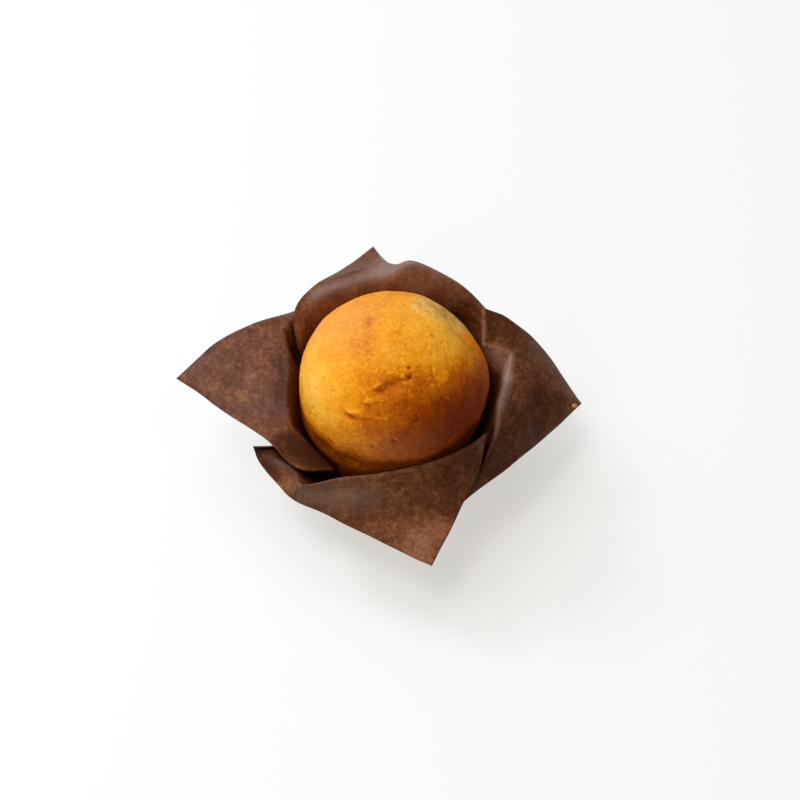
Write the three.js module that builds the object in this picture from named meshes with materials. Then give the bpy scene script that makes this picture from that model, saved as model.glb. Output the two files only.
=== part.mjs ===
// A small muffin baked in a square of brown greaseproof paper that is folded as a tulip case:
// the middle of the square is the round base, its four corners flare out as petals, and the
// paper left over between two petals lies in a Z-pleat, in which each petal laps over the
// start of the next one counterclockwise.
//
// Frame: millimetres, +Z up, origin at the middle of the paper's base on the table,
// +X to the right and +Y to the back as the muffin is seen from the front.
import * as THREE from 'three';

// ---------------------------------------------------------------- the paper case, sizes
const paperThickness = 0.4;
const baseRadius = 25;
const creaseRadius = 0.45; // of the round turn at each crease of a pleat
const hiddenShortening = 0.7; // of the flare in the middle of a pleat's hidden layer
const fullHugging = 8; // overlap from which the hidden layer keeps to the inner one
const layerSpacing = 4.4; // a turn's radius is at most the distance of the layers over this

// A petal is a fan of rays in order of azimuth, from its outer crease, which lies under the
// petal before it, to its inner crease, which lies over the next petal. A ray climbs the wall
// from the base circle to the rim, bends there and runs on to the paper's edge:
//   rim, edge: [azimuth in degrees, radius, height]
//   fold:  the rim turns a corner at this ray        tip: the paper's edge turns a corner
//   bow:   how far the flare arches up between rim and edge, negative where it is dished
const petals = [
  {
    name: 'left',
    feet: [145, 218], // azimuths of its creases on the base circle
    bend: 1.5, // how far from the rim the paper starts to bend
    rays: [
      { rim: [124, 44.8, 40.3], edge: [126, 48.5, 38.5], bow: 0 },
      { rim: [139, 44.8, 42.2], edge: [141.5, 49.5, 41], bow: 0 },
      { rim: [150.5, 43.8, 44], edge: [154.5, 55.6, 43.8], bow: 0, fold: true },
      { rim: [165, 37, 43.8], edge: [166.5, 65, 43.6], bow: 0 },
      { rim: [180, 35.6, 43.5], edge: [177.9, 75.1, 41], bow: 0.8, tip: true },
      { rim: [196, 37.1, 43], edge: [190, 59.5, 40.5], bow: 0 },
      { rim: [206, 38.5, 41.8], edge: [207, 49.5, 42], bow: 0, fold: true },
      { rim: [220, 36, 37.5], edge: [226, 46.3, 40], bow: 0 },
      { rim: [234.5, 35.2, 32.5], edge: [236.8, 38.1, 36.2], bow: 0 },
    ],
  },
  {
    name: 'front',
    feet: [227, 306],
    bend: 2.5,
    rays: [
      { rim: [207, 45, 33], edge: [206.6, 53.1, 37.5], bow: 0 },
      { rim: [218, 45.3, 36.3], edge: [211, 53.2, 33.5], bow: 0 },
      { rim: [225.2, 46.6, 38], edge: [222, 52.5, 31.5], bow: 0 },
      { rim: [231, 50.2, 38.5], edge: [230.5, 52.6, 31], bow: 0, fold: true },
      { rim: [244.5, 41.6, 41.5], edge: [249, 50.8, 29], bow: 0 },
      { rim: [263, 36.6, 42.4], edge: [266, 54.2, 26], bow: -0.6 },
      { rim: [281, 34.3, 42.5], edge: [281.4, 63.9, 25], bow: -1.6, tip: true },
      { rim: [298, 34.5, 42.6], edge: [295, 51, 31.5], bow: -0.4 },
      { rim: [312, 35.3, 42.5], edge: [310, 43.8, 38], bow: 0 },
      { rim: [326, 37, 41.5], edge: [324.5, 38.1, 43.5], bow: 0 },
    ],
  },
  {
    name: 'right',
    feet: [317, 396],
    bend: 4,
    rays: [
      { rim: [297, 42, 31.5], edge: [293.5, 48.5, 28], bow: 0 },
      { rim: [310, 42, 36], edge: [305.5, 46.2, 30.3], bow: 0 },
      { rim: [326, 40.1, 41], edge: [325, 47.6, 30.6], bow: 0 },
      { rim: [346, 36.7, 43.4], edge: [344, 53, 27.6], bow: 1 },
      { rim: [362, 38.3, 44], edge: [363.9, 66.6, 23], bow: 1, tip: true },
      { rim: [375.7, 42.1, 45], edge: [381.5, 56.3, 34.8], bow: 0.8, fold: true },
      { rim: [380, 38.2, 44.8], edge: [390.3, 46.7, 46.8], bow: 0 },
      { rim: [384.6, 34.4, 44.5], edge: [395.8, 38.3, 55], bow: 0, fold: true, tip: true },
      { rim: [400, 34, 44], edge: [402.6, 33.9, 54.5], bow: 0 },
      { rim: [415, 33.8, 43], edge: [411.5, 31.2, 53], bow: 0 },
    ],
  },
  {
    name: 'back',
    feet: [405, 496],
    bend: 13,
    rays: [
      { rim: [384, 44.5, 33], edge: [382, 50, 31], bow: 0 },
      { rim: [401, 44.6, 41.5], edge: [401, 48, 37], bow: 0 },
      { rim: [417, 44, 51], edge: [418, 51, 36], bow: 0 },
      { rim: [431, 43.4, 56], edge: [434, 54.5, 29], bow: 0 },
      { rim: [442, 43.2, 58.6], edge: [446, 58, 28], bow: 0 },
      { rim: [447.5, 41.6, 56], edge: [452, 61, 31.5], bow: 0 },
      { rim: [452, 40.2, 53.4], edge: [456.9, 65.1, 38], bow: -1.5, tip: true },
      { rim: [468, 40.3, 51.3], edge: [471, 52.6, 43.5], bow: 0.5 },
      { rim: [485, 41.5, 49.3], edge: [486.5, 47.6, 47.5], bow: 0 },
      { rim: [500, 40.5, 45], edge: [501.5, 44.9, 47], bow: 0 },
      { rim: [515, 36, 37], edge: [513.5, 37.3, 40], bow: 0 },
    ],
  },
];

// ---------------------------------------------------------------- numbers of steps
const columnsPerRay = 2;
const turnSteps = 4; // round a crease
const pleatSteps = 4; // across the hidden layer of a pleat
const innerBaseRing = 0.55; // share of the base's radius
const wallShares = [0, 0.07, 0.12, 0.16, 0.2, 0.25, 0.35, 0.55, 0.78]; // of the way up the wall
const bendShares = [0, 1 / 3, 2 / 3, 1]; // of the bend
const flareShares = [0.33, 0.67, 1]; // of the way from the bend to the paper's edge

// ---------------------------------------------------------------- helpers
const radians = THREE.MathUtils.degToRad;
const mix = (a, b, share) => a + (b - a) * share;
const mixAll = (a, b, share) => a.map((value, i) => mix(value, b[i], share));

const toPoint = ([azimuth, radius, height]) => {
  const angle = radians(azimuth);
  return new THREE.Vector3(radius * Math.cos(angle), radius * Math.sin(angle), height);
};

// A smooth curve through a list of number lists, straight up to a value that is a corner.
function curveAt(values, isCorner, at) {
  const last = values.length - 1;
  const i = Math.min(Math.floor(at), last - 1);
  const share = at - i;
  const difference = (a, b) => values[b].map((value, j) => value - values[a][j]);
  const slope = (k) => {
    if (k === 0 || k === last || isCorner[k]) return difference(i, i + 1);
    return difference(k - 1, k + 1).map((value) => value / 2);
  };
  const [leave, arrive] = [slope(i), slope(i + 1)];
  const s2 = share * share;
  const s3 = s2 * share;
  return values[i].map(
    (value, j) =>
      value * (2 * s3 - 3 * s2 + 1) +
      leave[j] * (s3 - 2 * s2 + share) +
      values[i + 1][j] * (3 * s2 - 2 * s3) +
      arrive[j] * (s3 - s2),
  );
}

// ---------------------------------------------------------------- the sheet of paper
// The wall of one column, from the base circle up to the rim, which isn't part of it.
const wallPoints = (footAzimuth, rim) =>
  wallShares.map((share) => toPoint(mixAll([footAzimuth, baseRadius, 0], rim, share)));

// The rest of a column: the bend at the rim and the flare to the paper's edge.
function flarePoints(wall, rim, edge, bow, bend) {
  const below = wall.at(-1);
  const reach = Math.min(bend, 0.45 * rim.distanceTo(edge), 0.8 * rim.distanceTo(below));
  const bendStart = rim.clone().add(below.clone().sub(rim).setLength(reach));
  const bendEnd = rim.clone().add(edge.clone().sub(rim).setLength(reach));
  const bendCurve = new THREE.QuadraticBezierCurve3(bendStart, rim, bendEnd);
  const flareMiddle = bendEnd.clone().lerp(edge, 0.5).add(new THREE.Vector3(0, 0, 2 * bow));
  const flareCurve = new THREE.QuadraticBezierCurve3(bendEnd, flareMiddle, edge);
  return [
    ...bendShares.map((share) => bendCurve.getPoint(share)),
    ...flareShares.map((share) => flareCurve.getPoint(share)),
  ];
}

// Azimuth (the one nearest to a given one), radius and height of a point.
function toCylinder(point, near) {
  const azimuth = THREE.MathUtils.radToDeg(Math.atan2(point.y, point.x));
  const turns = Math.round((near - azimuth) / 360);
  return [azimuth + 360 * turns, Math.hypot(point.x, point.y), point.z];
}

// A petal's columns: their points, and the numbers the pleats beside it go on from, which are
// the rim's place and the flare's sideways turn, slope, length and bow.
function petalColumns({ feet, bend, rays }) {
  const rims = rays.map((ray) => ray.rim);
  const edges = rays.map((ray) => [...toPoint(ray.edge).toArray(), ray.bow]);
  const folds = rays.map((ray) => Boolean(ray.fold));
  const tips = rays.map((ray) => Boolean(ray.tip));
  const steps = columnsPerRay * (rays.length - 1);
  return Array.from({ length: steps + 1 }, (_, k) => {
    const rim = curveAt(rims, folds, k / columnsPerRay);
    const [x, y, z, bow] = curveAt(edges, tips, k / columnsPerRay);
    const edge = new THREE.Vector3(x, y, z);
    const [turned, reach, height] = toCylinder(edge, rim[0]).map((value, i) => value - rim[i]);
    const wall = wallPoints(mix(feet[0], feet[1], k / steps), rim);
    return {
      points: [...wall, ...flarePoints(wall, toPoint(rim), edge, bow, bend)],
      shape: [...rim, turned, Math.atan2(height, reach), Math.hypot(height, reach), bow],
      bend,
    };
  });
}

// A layer of the sheet at an azimuth, from numbers given at a list of azimuths.
function layerAt(row, azimuth) {
  const next = row.findIndex(([a]) => a > azimuth);
  const i = next < 0 ? row.length - 2 : Math.max(0, next - 1);
  const share = (azimuth - row[i][0]) / (row[i + 1][0] - row[i][0]);
  return mixAll(row[i], row[i + 1], THREE.MathUtils.clamp(share, 0, 1));
}

// The way through a pleat from crease to crease, seen along the creases: a turn, a straight
// run and the turn back. For each column it gives how far forward of the inner crease it lies,
// its share of the way from the inner layer to the outer one, and how far out it is moved.
function foldPath(overlap, gap) {
  const radius = Math.min(creaseRadius, gap / layerSpacing);
  const rise = gap - 2 * radius;
  const centres = Math.hypot(overlap, rise);
  const turn = Math.atan2(rise, -overlap) + Math.asin(Math.min(1, (2 * radius) / centres));
  const straight = Math.sqrt(Math.max(0, centres ** 2 - 4 * radius ** 2));
  const arc = radius * turn;
  const total = 2 * arc + straight;
  const onTurn = (angle) => [radius * Math.sin(angle), radius * (1 - Math.cos(angle))];
  const placeAt = (length) => {
    if (length < arc) {
      const [forward, out] = onTurn(length / radius);
      return { forward, share: 0, out };
    }
    if (length > arc + straight) {
      const [back, inwards] = onTurn((total - length) / radius);
      return { forward: -overlap - back, share: 1, out: -inwards };
    }
    const [forward, out] = onTurn(turn);
    const along = (length - arc) / straight;
    const share = mix(along, along ** 3, THREE.MathUtils.clamp(overlap / fullHugging, 0, 1));
    return { forward: mix(forward, -overlap - forward, along), share, out: out * (1 - 2 * share) };
  };
  // The columns are spread evenly where the pleat is shallow, and else over its three parts.
  const columns = 2 * turnSteps + pleatSteps;
  return Array.from({ length: columns - 1 }, (_, i) => {
    const k = i + 1;
    let length = arc + (straight * (k - turnSteps)) / pleatSteps;
    if (k < turnSteps) length = (arc * k) / turnSteps;
    if (k > turnSteps + pleatSteps) length = total - (arc * (columns - k)) / turnSteps;
    return placeAt(mix((total * k) / columns, length, Math.min(1, turn / Math.PI)));
  });
}

// The fold path between two layers, given as rows of [azimuth, radius, height], with azimuths.
function foldPlaces(inside, outside, slope) {
  const start = inside.at(-1);
  const end = outside[0];
  const degrees = THREE.MathUtils.radToDeg(2 / (start[1] + end[1]));
  const apart = (a, b) => (b[1] - a[1]) * Math.cos(slope) - (b[2] - a[2]) * Math.sin(slope);
  const gap = Math.min(
    apart(start, layerAt(outside, start[0])),
    apart(layerAt(inside, end[0]), end),
  );
  const path = foldPath((start[0] - end[0]) / degrees, gap);
  return path.map((place) => ({ ...place, azimuth: start[0] + place.forward * degrees }));
}

// A column moved out of its own surface, row by row.
function movedOut(points, distances) {
  return points.map((point, k) => {
    const along = points[Math.min(k + 1, points.length - 1)].clone().sub(points[Math.max(k - 1, 0)]);
    const round = new THREE.Vector3(-point.y, point.x, 0);
    return point.clone().addScaledVector(round.cross(along).normalize(), distances[k]);
  });
}

// The columns between the inner crease of one petal and the outer crease of the next: a round
// turn, the hidden layer, which runs back between the two petals, and the second turn.
function pleatColumns(fan, nextFan) {
  const inner = fan.slice(-Math.ceil(fan.length / 2));
  const outer = nextFan.slice(0, Math.ceil(nextFan.length / 2));
  const near = inner.at(-1).shape[0];
  const rowOf = (columns, k) => columns.map(({ points }) => toCylinder(points[k], near));
  const shapesOf = (columns) =>
    columns.map(({ shape }) => [shape[0] + 360 * Math.round((near - shape[0]) / 360), ...shape.slice(1)]);
  const [, rimRadius, rimHeight] = inner.at(-1).shape;
  const slope = Math.atan2(rimRadius - baseRadius, rimHeight);
  const count = 2 * turnSteps + pleatSteps - 1;
  const feet = [rowOf(inner, 0).at(-1), rowOf(outer, 0)[0]];
  const walls = Array.from({ length: count }, (_, i) => [toPoint(mixAll(...feet, (i + 1) / (count + 1)))]);
  const distances = walls.map(() => [0]);
  for (let k = 1; k < wallShares.length; k += 1) {
    const [inside, outside] = [rowOf(inner, k), rowOf(outer, k)];
    foldPlaces(inside, outside, slope).forEach(({ azimuth, share, out }, i) => {
      const [, radius, height] = mixAll(layerAt(inside, azimuth), layerAt(outside, azimuth), share);
      walls[i].push(toPoint([azimuth, radius, height]));
      distances[i].push(out);
    });
  }
  const [inside, outside] = [shapesOf(inner), shapesOf(outer)];
  return foldPlaces(inside, outside, slope).map(({ azimuth, share, out }, i) => {
    const [innerShape, outerShape] = [layerAt(inside, azimuth), layerAt(outside, azimuth)];
    const [, radius, height, turned, , fullLength, bow] = mixAll(innerShape, outerShape, share);
    const rise = mix(innerShape[4], outerShape[4], share ** 3);
    const length = fullLength * (1 - hiddenShortening * Math.sin(Math.PI * share) ** 2);
    const edge = [azimuth + turned, radius + length * Math.cos(rise), height + length * Math.sin(rise)];
    const bend = mix(inner[0].bend, outer[0].bend, share);
    const flare = flarePoints(walls[i], toPoint([azimuth, radius, height]), toPoint(edge), bow, bend);
    return { points: movedOut([...walls[i], ...flare], [...distances[i], ...flare.map(() => out)]) };
  });
}

// All columns of the sheet, counterclockwise.
function sheetColumns() {
  const fans = petals.map(petalColumns);
  return fans
    .flatMap((fan, i) => [...fan, ...pleatColumns(fan, fans[(i + 1) % fans.length])])
    .map(({ points }) => points);
}

function geometryOf(points, faces) {
  const geometry = new THREE.BufferGeometry();
  const positions = points.flatMap((point) => point.toArray());
  geometry.setAttribute('position', new THREE.Float32BufferAttribute(positions, 3));
  geometry.setIndex(faces.flat());
  geometry.computeVertexNormals();
  return geometry;
}

// The two triangles between columns c and c + 1 and rows r and r + 1 of a closed grid.
const gridFaces = (index, r, c) => [
  [index(r, c), index(r + 1, c + 1), index(r, c + 1)],
  [index(r, c), index(r + 1, c), index(r + 1, c + 1)],
];

// The sheet's middle surface, thickened to both sides and closed along the paper's edge.
function paperGeometry() {
  const columns = sheetColumns();
  const across = columns.length;
  const ring = (k) => columns.map((column) => column[k]);
  const innerRing = ring(0).map((point) => point.clone().multiplyScalar(innerBaseRing));
  const rings = [innerRing, ...columns[0].map((_, k) => ring(k))];
  const middle = [new THREE.Vector3(), ...rings.flat()];
  const index = (r, c) => 1 + r * across + (c % across);
  const faces = [];
  for (let c = 0; c < across; c += 1) {
    faces.push([0, index(0, c), index(0, c + 1)]);
    for (let r = 0; r + 1 < rings.length; r += 1) faces.push(...gridFaces(index, r, c));
  }
  const normals = middle.map(() => new THREE.Vector3());
  faces.forEach(([a, b, c]) => {
    const square = middle[b].clone().sub(middle[a]).cross(middle[c].clone().sub(middle[a]));
    [a, b, c].forEach((vertex) => normals[vertex].add(square));
  });
  const baseVertices = 1 + 2 * across;
  const side = (sign) =>
    middle.map((point, vertex) => {
      const half = (sign * paperThickness) / 2;
      const moved = point.clone().addScaledVector(normals[vertex].clone().normalize(), half);
      if (vertex < baseVertices) moved.z = half;
      moved.z += paperThickness / 2;
      return moved;
    });
  const below = middle.length;
  const underside = faces.map(([a, b, c]) => [a + below, c + below, b + below]);
  const last = rings.length - 1;
  const rimFaces = columns.flatMap((_, c) => {
    const [a, b] = [index(last, c), index(last, c + 1)];
    return [
      [a, a + below, b + below],
      [a, b + below, b],
    ];
  });
  return geometryOf([...side(1), ...side(-1)], [...faces, ...underside, ...rimFaces]);
}

// ---------------------------------------------------------------- the muffin
const crownRadius = 32.8;
const crownHeight = 43; // of the crown's widest place
const crownRise = 28.8; // from there to its top
const crownEnd = 100; // degrees from the top, where the crown passes into the body
const crownRows = 27;
const around = 80;

// The tapered body under the crown, top to bottom: radius, height, and how much further it
// bulges towards the left, where the paper leaves it room.
const body = [
  [31.4, 34, 2],
  [30.2, 28.5, 2],
  [28.3, 19.5, 1.6],
  [26.3, 10, 0.8],
  [25, 3.5, 0.2],
  [24, 0.8, 0],
];
const bulge = { azimuth: 212, width: 42 }; // degrees

// Relief of the crust. Each mound or hollow is a bell: azimuth and angle from the top of its
// middle, height (negative for a hollow), its half length and half width, and how its length
// is turned from level, counterclockwise as it is looked at from outside.
const relief = [
  { name: 'sunken shoulder', azimuth: 22, polar: 58, height: -3.2, size: [10.5, 8.5], turn: 0 },
  { name: 'flat under the pale patch', azimuth: 48, polar: 51, height: -1.1, size: [8, 7], turn: 0 },
  { name: 'notch at its end', azimuth: 33, polar: 53, height: -1.5, size: [4.2, 3.6], turn: 0 },
  { name: 'swelling below the patch', azimuth: 12, polar: 55, height: 0.5, size: [8, 5], turn: 20 },
  { name: 'fuller left foot of the crown', azimuth: 212, polar: 98, height: 0.9, size: [24, 7], turn: 0 },
  { name: 'long wrinkle', azimuth: 258, polar: 35, height: 0.75, size: [3.6, 1.3], turn: 40 },
  { name: 'upper wrinkle', azimuth: 268, polar: 27, height: 0.45, size: [3.2, 1.2], turn: 5 },
  { name: 'short wrinkle', azimuth: 279, polar: 29, height: 0.7, size: [2, 1.2], turn: 20 },
  { name: 'hollow by the wrinkles', azimuth: 266, polar: 36, height: -0.6, size: [4, 2], turn: 20 },
  { name: 'lip over the dimple', azimuth: 243, polar: 57, height: 0.7, size: [4.4, 1.3], turn: 0 },
  { name: 'dimple', azimuth: 240, polar: 62, height: -0.9, size: [3.4, 1.6], turn: 0 },
  { name: 'fold above the dimple', azimuth: 252, polar: 47, height: 0.5, size: [2.2, 1.2], turn: 25 },
  { name: 'bump on the right', azimuth: 321, polar: 44, height: 0.5, size: [3, 1.8], turn: 20 },
  { name: 'low swelling in front', azimuth: 285, polar: 70, height: 0.6, size: [12, 7], turn: 0 },
];

function reliefAt(azimuth, polar) {
  return relief.reduce((sum, bell) => {
    const turned = ((azimuth - bell.azimuth + 540) % 360) - 180;
    const level = radians(turned) * crownRadius * Math.sin(radians(polar));
    const upwards = radians(bell.polar - polar) * crownRadius;
    const slant = radians(bell.turn);
    const along = (level * Math.cos(slant) + upwards * Math.sin(slant)) / bell.size[0];
    const across = (upwards * Math.cos(slant) - level * Math.sin(slant)) / bell.size[1];
    return sum + bell.height * Math.exp(-(along ** 2) - across ** 2);
  }, 0);
}

// The dough rose a little unevenly: a few broad waves round the crown.
const unevenness = (azimuth, polar) => {
  const angle = radians(azimuth);
  const fade = Math.sin(radians(Math.min(polar, 90))) ** 2;
  const waves = [
    0.22 * Math.cos(2 * angle + 0.6),
    0.16 * Math.cos(3 * angle - 1),
    0.1 * Math.cos(5 * angle),
  ];
  return fade * waves.reduce((sum, wave) => sum + wave);
};

function crownPoint(azimuth, polar) {
  const angle = radians(polar);
  const swell = 1 + (reliefAt(azimuth, polar) + unevenness(azimuth, polar) - 0.4) / crownRadius;
  const rise = crownRise * Math.cos(angle) * (polar < 90 ? swell : 1);
  return toPoint([azimuth, crownRadius * Math.sin(angle) * swell, crownHeight + rise]);
}

function muffinGeometry() {
  const azimuths = Array.from({ length: around }, (_, i) => (360 * i) / around);
  const crown = Array.from({ length: crownRows }, (_, i) => {
    const polar = (crownEnd * (i + 1)) / crownRows;
    return azimuths.map((azimuth) => crownPoint(azimuth, polar));
  });
  const sides = body.map(([radius, height, further]) =>
    azimuths.map((azimuth) => {
      const bell = Math.exp(-(((azimuth - bulge.azimuth) / bulge.width) ** 2));
      return toPoint([azimuth, radius + further * bell, height]);
    }),
  );
  const rows = [...crown, ...sides];
  const points = [crownPoint(0, 0), ...rows.flat(), new THREE.Vector3(0, 0, body.at(-1)[1])];
  const index = (r, c) => 1 + r * around + (c % around);
  const faces = azimuths.flatMap((_, c) => [
    [0, index(0, c), index(0, c + 1)],
    ...rows.slice(1).flatMap((_row, r) => gridFaces(index, r, c)),
    [points.length - 1, index(rows.length - 1, c + 1), index(rows.length - 1, c)],
  ]);
  return geometryOf(points, faces);
}

// ---------------------------------------------------------------- the object
function named(name, geometry, color, roughness) {
  const mesh = new THREE.Mesh(geometry, new THREE.MeshStandardMaterial({ color, roughness, metalness: 0 }));
  mesh.name = name;
  return mesh;
}

const object = new THREE.Group();
object.name = 'muffin_in_tulip_paper_case';
object.add(
  named('paper_case', paperGeometry(), 0x5a3826, 0.7),
  named('muffin', muffinGeometry(), 0xc98a2e, 0.75),
);

export default object;
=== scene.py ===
import math

import bpy
import numpy as np
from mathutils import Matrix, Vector, noise


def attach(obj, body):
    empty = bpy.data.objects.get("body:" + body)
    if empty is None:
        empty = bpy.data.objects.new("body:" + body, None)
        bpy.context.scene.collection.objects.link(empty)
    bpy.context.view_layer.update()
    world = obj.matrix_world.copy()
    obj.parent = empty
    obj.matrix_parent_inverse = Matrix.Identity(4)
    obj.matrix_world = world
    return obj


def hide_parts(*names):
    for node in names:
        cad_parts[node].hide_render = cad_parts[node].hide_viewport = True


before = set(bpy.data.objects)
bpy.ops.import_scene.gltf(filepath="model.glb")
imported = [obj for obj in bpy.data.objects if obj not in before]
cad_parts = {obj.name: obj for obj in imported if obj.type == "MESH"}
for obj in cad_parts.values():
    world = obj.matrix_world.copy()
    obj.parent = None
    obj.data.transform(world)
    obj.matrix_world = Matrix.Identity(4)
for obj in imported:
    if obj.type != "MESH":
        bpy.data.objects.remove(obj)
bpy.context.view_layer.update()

# A muffin in a tulip paper case. Lengths are in millimetres until a mesh is made.
# +X is to the right and +Y to the back as the photograph sees the muffin.
MM = 0.001
UP = np.array([0.0, 0.0, 1.0])

# ------------------------------------------------------------------ sizes of the paper case
PAPER_THICKNESS = 0.14
BASE_RADIUS = 25
CREASE_RADIUS = 0.22  # of the round turn at each crease of a pleat
HIDDEN_SHORTENING = 0.85  # of the flare in the middle of a pleat's hidden layer
FULL_HUGGING = 8  # overlap from which the hidden layer keeps to the inner one
LAYER_SPACING = 4.4  # a turn's radius is at most the distance of the layers over this
BEND_OF_FLARE = 0.45  # the most that the bend takes of the flare
BEND_OF_WALL = 0.8  # and of the wall above its last point

CRUMPLE_DEPTH = 0.55
CRUMPLE_SIZE = 12
CRUMPLE_START = 0.35  # share of the way from the base's middle to the paper's edge
# Where in the noise each axis reads its movement, far enough apart to be unrelated.
CRUMPLE_SHIFTS = [Vector((0, 0, 0)), Vector((13.7, 5.1, 8.3)), Vector((4.9, 17.3, 11.1))]

# The petals, with the same rays as in the solids, in order of azimuth. The feet are the
# azimuths of a petal's creases on the base circle, and the bend is how far from the rim the
# paper starts to bend. A ray has its rim and its paper's edge as (azimuth, radius, height)
# and how far its flare bows up. At a fold its rim turns a corner, and at a tip its edge does.
PETALS = {
    "left": {
        "feet": (145, 218),
        "bend": 1.5,
        "rays": [
            ((124, 44.8, 40.3), (126, 48.5, 38.5), 0, ""),
            ((139, 44.8, 42.2), (141.5, 49.5, 41), 0, ""),
            ((150.5, 43.8, 44), (154.5, 55.6, 43.8), 0, "fold"),
            ((165, 37, 43.8), (166.5, 65, 43.6), 0, ""),
            ((180, 35.6, 43.5), (177.9, 75.1, 41), 0.8, "tip"),
            ((196, 37.1, 43), (190, 59.5, 40.5), 0, ""),
            ((206, 38.5, 41.8), (207, 49.5, 42), 0, "fold"),
            ((220, 36, 37.5), (226, 46.3, 40), 0, ""),
            ((234.5, 35.2, 32.5), (236.8, 38.1, 36.2), 0, ""),
        ],
    },
    "front": {
        "feet": (227, 306),
        "bend": 2.5,
        "rays": [
            ((207, 45, 33), (206.6, 53.1, 37.5), 0, ""),
            ((218, 45.3, 36.3), (211, 53.2, 33.5), 0, ""),
            ((225.2, 46.6, 38), (222, 52.5, 31.5), 0, ""),
            ((231, 50.2, 38.5), (230.5, 52.6, 31), 0, "fold"),
            ((244.5, 41.6, 41.5), (249, 50.8, 29), 0, ""),
            ((263, 36.6, 42.4), (266, 54.2, 26), -0.6, ""),
            ((281, 34.3, 42.5), (281.4, 63.9, 25), -1.6, "tip"),
            ((298, 34.5, 42.6), (295, 51, 31.5), -0.4, ""),
            ((312, 35.3, 42.5), (310, 43.8, 38), 0, ""),
            ((326, 37, 41.5), (324.5, 38.1, 43.5), 0, ""),
        ],
    },
    "right": {
        "feet": (317, 396),
        "bend": 4,
        "rays": [
            ((297, 42, 31.5), (293.5, 48.5, 28), 0, ""),
            ((310, 42, 36), (305.5, 46.2, 30.3), 0, ""),
            ((326, 40.1, 41), (325, 47.6, 30.6), 0, ""),
            ((346, 36.7, 43.4), (344, 53, 27.6), 1, ""),
            ((362, 38.3, 44), (363.9, 66.6, 23), 1, "tip"),
            ((375.7, 42.1, 45), (381.5, 56.3, 34.8), 0.8, "fold"),
            ((380, 38.2, 44.8), (390.3, 46.7, 46.8), 0, ""),
            ((384.6, 34.4, 44.5), (395.8, 38.3, 55), 0, "fold tip"),
            ((400, 34, 44), (402.6, 33.9, 54.5), 0, ""),
            ((415, 33.8, 43), (411.5, 31.2, 53), 0, ""),
        ],
    },
    "back": {
        "feet": (405, 496),
        "bend": 13,
        "rays": [
            ((384, 44.5, 33), (382, 50, 31), 0, ""),
            ((401, 44.6, 41.5), (401, 48, 37), 0, ""),
            ((417, 44, 51), (418, 51, 36), 0, ""),
            ((431, 43.4, 56), (434, 54.5, 29), 0, ""),
            ((442, 43.2, 58.6), (446, 58, 28), 0, ""),
            ((447.5, 41.6, 56), (452, 61, 31.5), 0, ""),
            ((452, 40.2, 53.4), (456.9, 65.1, 38), -1.5, "tip"),
            ((468, 40.3, 51.3), (471, 52.6, 43.5), 0.5, ""),
            ((485, 41.5, 49.3), (486.5, 47.6, 47.5), 0, ""),
            ((500, 40.5, 45), (501.5, 44.9, 47), 0, ""),
            ((515, 36, 37), (513.5, 37.3, 40), 0, ""),
        ],
    },
}

# Numbers of steps, finer than in the solids.
COLUMNS_PER_RAY = 8
TURN_STEPS = 6  # round each crease of a pleat
PLEAT_STEPS = 10  # between its two creases
BASE_RINGS = np.linspace(0.1, 0.9, 7)  # shares of the base's radius
# Shares of the way from the base circle to the rim, closest at the foot of the wall.
WALL_SHARES = np.concatenate([np.linspace(0, 0.24, 13), np.linspace(0.27, 0.84, 15)])
BEND_STEPS = 8
FLARE_STEPS = 22


def mix(a, b, share):
    return a + (b - a) * share


def to_point(place):
    """A point from its azimuth in degrees, its radius and its height."""
    azimuth, radius, height = place
    angle = math.radians(azimuth)
    return np.array([radius * math.cos(angle), radius * math.sin(angle), height])


def to_cylinder(point, near):
    """Azimuth (the one nearest to a given one), radius and height of a point."""
    azimuth = math.degrees(math.atan2(point[1], point[0]))
    turns = round((near - azimuth) / 360)
    return np.array([azimuth + 360 * turns, math.hypot(point[0], point[1]), point[2]])


def curve_at(values, corners, at):
    """A smooth curve through a list of number lists, straight up to a corner."""
    last = len(values) - 1
    i = min(int(at), last - 1)
    s = at - i

    def slope(k):
        if k in (0, last) or corners[k]:
            return values[i + 1] - values[i]
        return (values[k + 1] - values[k - 1]) / 2

    leave = slope(i)
    arrive = slope(i + 1)
    return (
        values[i] * (2 * s**3 - 3 * s**2 + 1)
        + leave * (s**3 - 2 * s**2 + s)
        + values[i + 1] * (3 * s**2 - 2 * s**3)
        + arrive * (s**3 - s**2)
    )


def wall_points(foot_azimuth, rim):
    foot = np.array([foot_azimuth, BASE_RADIUS, 0.0])
    return [to_point(mix(foot, rim, share)) for share in WALL_SHARES]


def bezier(a, b, c, share):
    return mix(mix(a, b, share), mix(b, c, share), share)


def flare_points(wall, rim, edge, bow, bend):
    """The bend at the rim and the flare to the paper's edge."""
    down = wall[-1] - rim
    away = edge - rim
    wall_length = np.linalg.norm(down)
    flare_length = np.linalg.norm(away)
    reach = min(bend, BEND_OF_FLARE * flare_length, BEND_OF_WALL * wall_length)
    start = rim + down * (reach / wall_length)
    end = rim + away * (reach / flare_length)
    middle = mix(end, edge, 0.5) + np.array([0, 0, 2 * bow])
    turn = [bezier(start, rim, end, k / BEND_STEPS) for k in range(BEND_STEPS + 1)]
    flare = [bezier(end, middle, edge, k / FLARE_STEPS) for k in range(1, FLARE_STEPS + 1)]
    return turn + flare


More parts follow.
